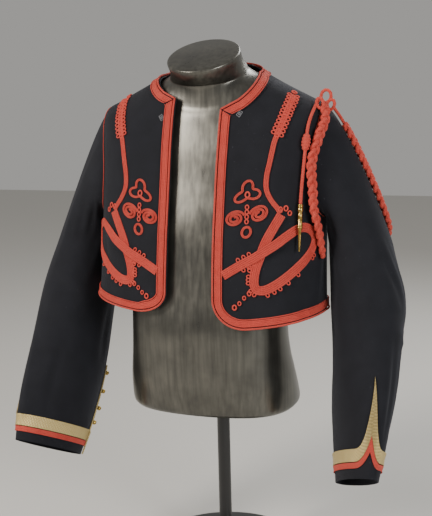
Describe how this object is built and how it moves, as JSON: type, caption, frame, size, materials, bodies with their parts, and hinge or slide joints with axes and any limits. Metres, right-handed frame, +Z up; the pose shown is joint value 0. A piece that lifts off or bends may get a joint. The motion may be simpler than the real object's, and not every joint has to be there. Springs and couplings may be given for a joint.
{
  "type": "zouave bolero on a dress form",
  "caption": "Short collarless wool jacket with round open fronts, raised braid, gold cuff lace and a shoulder cord, on a limbless dress form with a pole stand.",
  "frame": {"origin": "centre of the stand's underside, on the pole's axis", "axes": "+Z up along the pole, -Y towards the front of the jacket, +X towards the wearer's left"},
  "size_m": [0.6872, 0.3591, 0.9663],
  "materials": {
    "form": "dark grey metallic paint on a glass-fibre form, semi-gloss",
    "stand": "black enamel",
    "wool": "very dark navy wool cloth, fulled and matt",
    "braid": "coral red woven wool braid and piping",
    "cord": "coral red twisted wool cord",
    "galon": "pale gold metal-thread lace",
    "button": "gilt brass",
    "ferrule": "polished brass"
  },
  "bodies": {
    "root": {"dress_form": "form", "stand_base": "stand", "stand_pole": "stand", "stand_collar": "stand", "front_left": "wool", "front_right": "wool", "back": "wool", "sleeve_left": "wool", "sleeve_right": "wool", "braid_neck": "braid", "braid_edge_left": "braid", "braid_edge_right": "braid", "braid_hem_back": "braid", "armhole_piping_left": "braid", "armhole_piping_right": "braid", "loop_braid_left": "braid", "loop_braid_right": "braid", "shoulder_braid_left": "braid", "shoulder_braid_right": "braid", "shoulder_pad_left": "braid", "shoulder_pad_right": "braid", "scroll_leaves_left": "braid", "scroll_leaves_right": "braid", "scroll_outer_left": "braid", "scroll_outer_right": "braid", "scroll_inner_left": "braid", "scroll_inner_right": "braid", "scroll_drop_left": "braid", "scroll_drop_right": "braid", "cuff_braid_left": "braid", "cuff_braid_right": "braid", "knot_loop_top": "cord", "knot_loop_front": "cord", "knot_loop_back": "cord", "plait_front": "cord", "plait_back": "cord", "cord_upper": "cord", "cord_lower": "cord", "slide_knot": "cord", "galon_left": "galon", "galon_right": "galon", "slit_edging_left": "galon", "slit_edging_right": "galon", "button_left_1": "button", "button_left_2": "button", "button_left_3": "button", "button_left_4": "button", "button_right_1": "button", "button_right_2": "button", "button_right_3": "button", "button_right_4": "button", "ferrule": "ferrule"}
  },
  "joints": []
}
